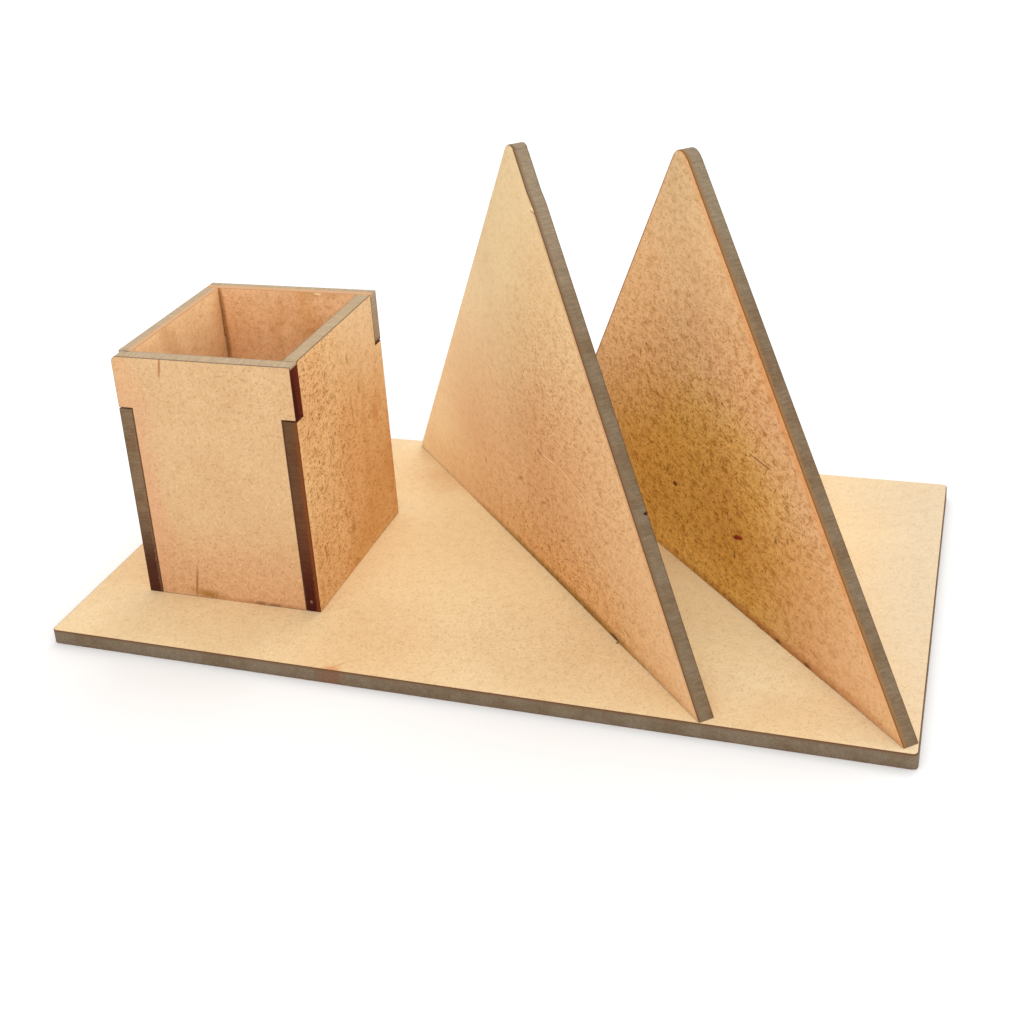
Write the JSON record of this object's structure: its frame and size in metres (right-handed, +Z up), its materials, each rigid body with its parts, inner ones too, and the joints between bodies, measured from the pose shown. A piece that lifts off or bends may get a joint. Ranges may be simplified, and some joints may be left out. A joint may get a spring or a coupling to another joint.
{
  "type": "desktop organizer",
  "caption": "Laser-cut board desktop organizer: a stepped-corner square cup and upright triangular dividers standing diagonally on a flat rectangular base.",
  "frame": {"origin": "centre of the base plate's underside", "axes": "+Z up, +X along the base plate's long side with the cup at the -X end, -Y towards the front edge"},
  "size_m": [0.165, 0.095, 0.0912],
  "materials": {
    "base_board": "raw mdf face, matte",
    "cup_board": "raw mdf face with charred laser-cut edges, matte",
    "divider_board": "raw mdf face with charred laser-cut edges, matte"
  },
  "bodies": {
    "root": {"base_plate": "base_board", "cup_wall_front": "cup_board", "cup_wall_back": "cup_board", "cup_wall_left": "cup_board", "cup_wall_right": "cup_board", "divider_left": "divider_board", "divider_right": "divider_board"}
  },
  "joints": []
}
